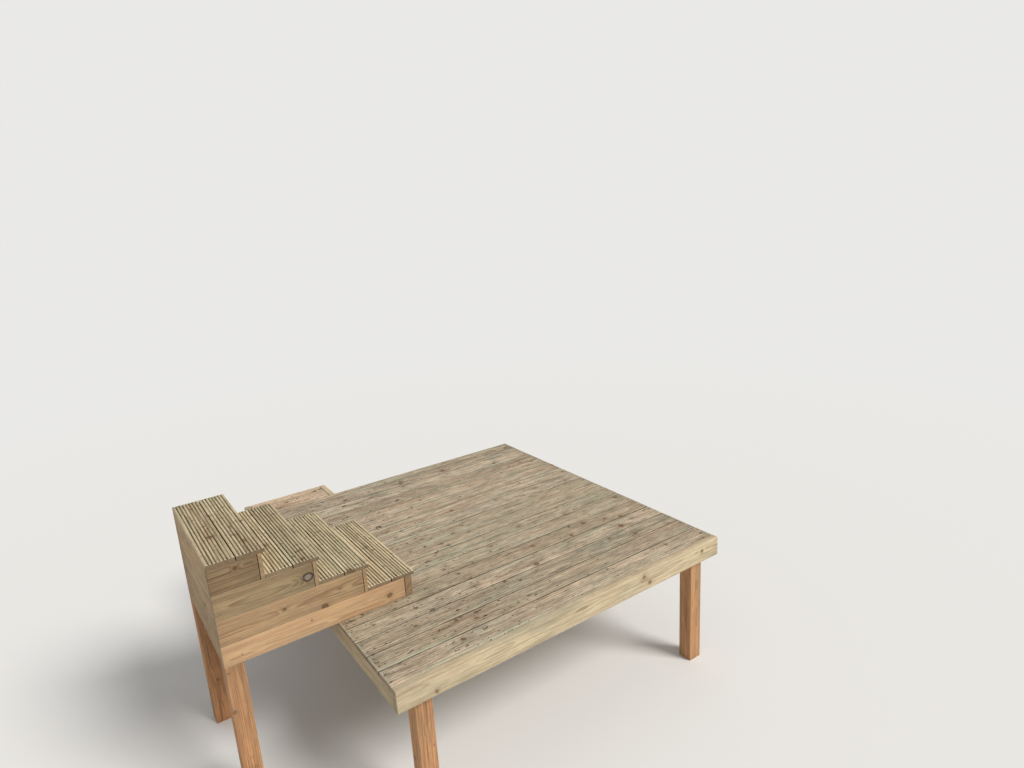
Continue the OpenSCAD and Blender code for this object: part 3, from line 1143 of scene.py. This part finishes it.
class JETTY_OT_framing(bpy.types.Operator):
    """Fit the rims and joists under the deck and the ledge"""

    bl_idname = "jetty.framing"
    bl_label = "Rims and joists"

    def execute(self, context):
        look = context.scene.jetty_framing
        material = framing_wood(look)
        runs = {"near_rim": ALONG_X, "far_rim": ALONG_X, "ledge_side_rim": ALONG_X,
                "ledge_front_rim": ALONG_Y, "ledge_back_rim": ALONG_Y}
        runs.update({joist: ALONG_Y for joist in JOISTS})
        for name, axis in runs.items():
            fit(Timber(name, *node_box(name), axis), look, material, "framing", name)
        low, high = node_box("ledge_joists")
        thick = np.ptp(node_box("joist_1"), 0)[ALONG_X]
        for number, start in enumerate((low[ALONG_X], high[ALONG_X] - thick), 1):
            joist = Timber(f"ledge_joist_{number}", low, high, ALONG_Y)
            joist.low[ALONG_X], joist.high[ALONG_X] = start, start + thick
            fit(joist, look, material, "framing", "ledge_joists")
        return {"FINISHED"}


class JETTY_OT_posts(bpy.types.Operator):
    """Stand the square posts, with drying splits in their faces"""

    bl_idname = "jetty.posts"
    bl_label = "Posts"

    def execute(self, context):
        look = context.scene.jetty_posts
        material = post_wood(look)
        for name in sorted(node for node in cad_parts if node.endswith("_post")):
            post = Timber(name, *node_box(name), ALONG_Z)
            post.boxed_heart = True
            wide, deep = post.size
            for at in ((wide * 0.5, 0), (wide, deep * 0.5), (0, deep * 0.6)):
                begin = post.rng.uniform(0.05, 0.45) * post.long
                end = begin + post.rng.uniform(0.18, 0.42) * post.long
                post.splits.append((begin, end, at, post.rng.uniform(3, 7) * MM))
            fit(post, look, material, "posts", name, spacing=12 * MM, step=30 * MM)
        return {"FINISHED"}


class JETTY_OT_stage(bpy.types.Operator):
    """Set the floor, the soft light and the camera"""

    bl_idname = "jetty.stage"
    bl_label = "Stage"

    def execute(self, context):
        look = context.scene.jetty_stage
        self.lay_floor(look)
        self.light(context, look)
        self.aim(context, look)
        return {"FINISHED"}

    def lay_floor(self, look):
        """A flat disc: point = radius x (cos angle, sin angle, 0)."""
        angle = np.linspace(0, 2 * math.pi, FLOOR_SIDES, endpoint=False)
        rim = FLOOR_RADIUS * np.stack([np.cos(angle), np.sin(angle), 0 * angle], 1)
        make_object("floor", rim, [list(range(FLOOR_SIDES))], floor_finish(look))

    def light(self, context, look):
        """Soft light from all sides, which the camera sees as the backdrop, and one large lamp."""
        context.scene.world = bpy.data.worlds.new("soft_room")
        s = Finish(context.scene.world)
        room = s.take(0, "ShaderNodeBackground", {"Color": WHITE, "Strength": look.fill})
        seen = s.take(0, "ShaderNodeBackground", {"Color": rgba(look.backdrop)})
        by_camera = s.take("Is Camera Ray", "ShaderNodeLightPath")
        s.end(s.blend(by_camera, room, seen), "ShaderNodeOutputWorld")
        lamp = bpy.data.lights.new("key", "SUN")
        lamp.energy = look.key
        lamp.angle = look.softness
        lamp.color = look.key_colour
        key = link("key", lamp)
        key.rotation_euler = (-Vector(look.towards_key)).to_track_quat("-Z", "Y").to_euler()

    def aim(self, context, look):
        """The camera is rolled about its line of sight, tilted down by pitch and turned by yaw."""
        low, high = node_box("near_rim")
        deck_corner = Vector((high[0], low[1], high[2]))
        turned = Euler((math.pi / 2 - look.pitch, 0, -look.yaw)).to_matrix().to_4x4()
        rolled = Matrix.Rotation(look.roll, 4, "Z")
        lens = bpy.data.cameras.new("camera")
        lens.sensor_width = FILM_WIDTH
        lens.lens = look.focal
        camera = link("camera", lens)
        camera.matrix_world = Matrix.Translation(deck_corner + Vector(look.eye)) @ turned @ rolled
        context.scene.camera = camera


class JETTY_PT_panel(bpy.types.Panel):
    """Lists the pieces of the jetty with their sizes and colours"""

    bl_idname = "JETTY_PT_panel"
    bl_label = "Wooden jetty"
    bl_space_type = "VIEW_3D"
    bl_region_type = "UI"
    bl_category = "Jetty"

    def draw(self, context):
        for operator in PIECES:
            self.layout.operator(operator.bl_idname)
        for name, group in SETTINGS.items():
            box = self.layout.box()
            box.label(text=group.__doc__)
            for prop in group.__annotations__:
                box.prop(getattr(context.scene, name), prop)


PIECES = (
    JETTY_OT_deck_boards,
    JETTY_OT_treads,
    JETTY_OT_boxes,
    JETTY_OT_framing,
    JETTY_OT_posts,
    JETTY_OT_stage,
)
SETTINGS = {
    "jetty_deck": DeckSettings,
    "jetty_treads": TreadSettings,
    "jetty_boxes": BoxSettings,
    "jetty_framing": FramingSettings,
    "jetty_posts": PostSettings,
    "jetty_screws": ScrewSettings,
    "jetty_stage": StageSettings,
}
CLASSES = (*SETTINGS.values(), *PIECES, JETTY_PT_panel)


def register():
    for item in CLASSES:
        bpy.utils.register_class(item)
    for name, group in SETTINGS.items():
        setattr(bpy.types.Scene, name, PointerProperty(type=group))


def unregister():
    for name in SETTINGS:
        delattr(bpy.types.Scene, name)
    for item in reversed(CLASSES):
        bpy.utils.unregister_class(item)


def main():
    register()
    bpy.context.scene.view_settings.view_transform = "Standard"
    bpy.ops.jetty.deck_boards()
    bpy.ops.jetty.treads()
    bpy.ops.jetty.boxes()
    bpy.ops.jetty.framing()
    bpy.ops.jetty.posts()
    bpy.ops.jetty.stage()


if __name__ == "__main__":
    main()
